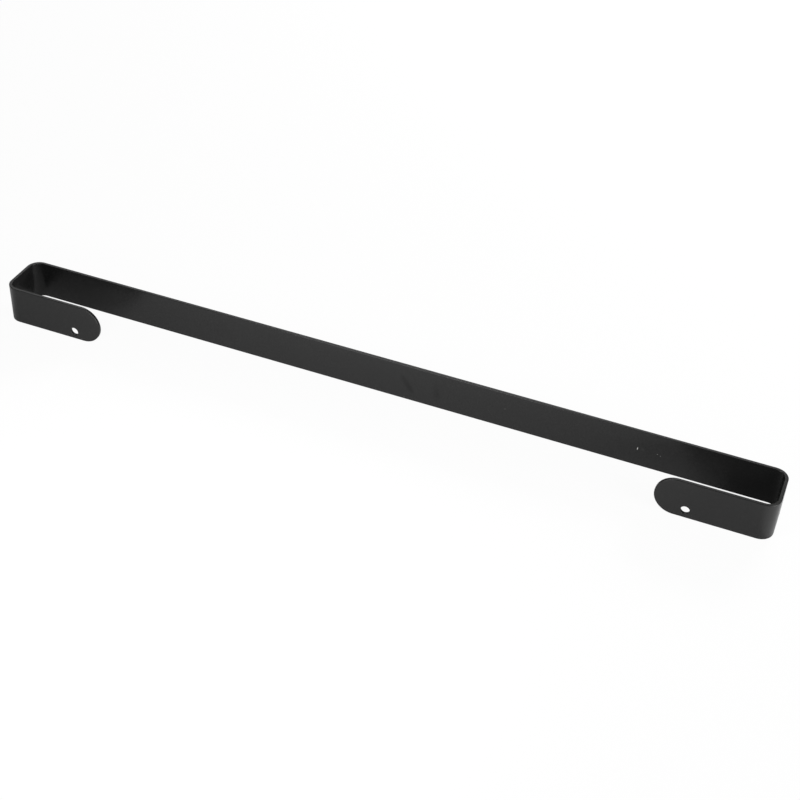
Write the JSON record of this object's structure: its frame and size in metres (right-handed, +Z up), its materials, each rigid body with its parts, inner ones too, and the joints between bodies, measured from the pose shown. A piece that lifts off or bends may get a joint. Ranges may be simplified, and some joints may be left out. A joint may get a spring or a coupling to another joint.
{
  "type": "towel bar",
  "caption": "Flat steel strip folded into a wall towel bar: a long bar on short legs, with inward wall tabs that have round tips and screw holes, in black powder coat.",
  "frame": {"origin": "on the wall plane, midway between the two screw holes, at their height", "axes": "+X along the bar, +Y out from the wall into the room, +Z up as mounted"},
  "size_m": [0.6, 0.042, 0.0305],
  "materials": {
    "powder_coat": "satin black powder coat on steel"
  },
  "bodies": {
    "root": {"towel_bar": "powder_coat"}
  },
  "joints": []
}
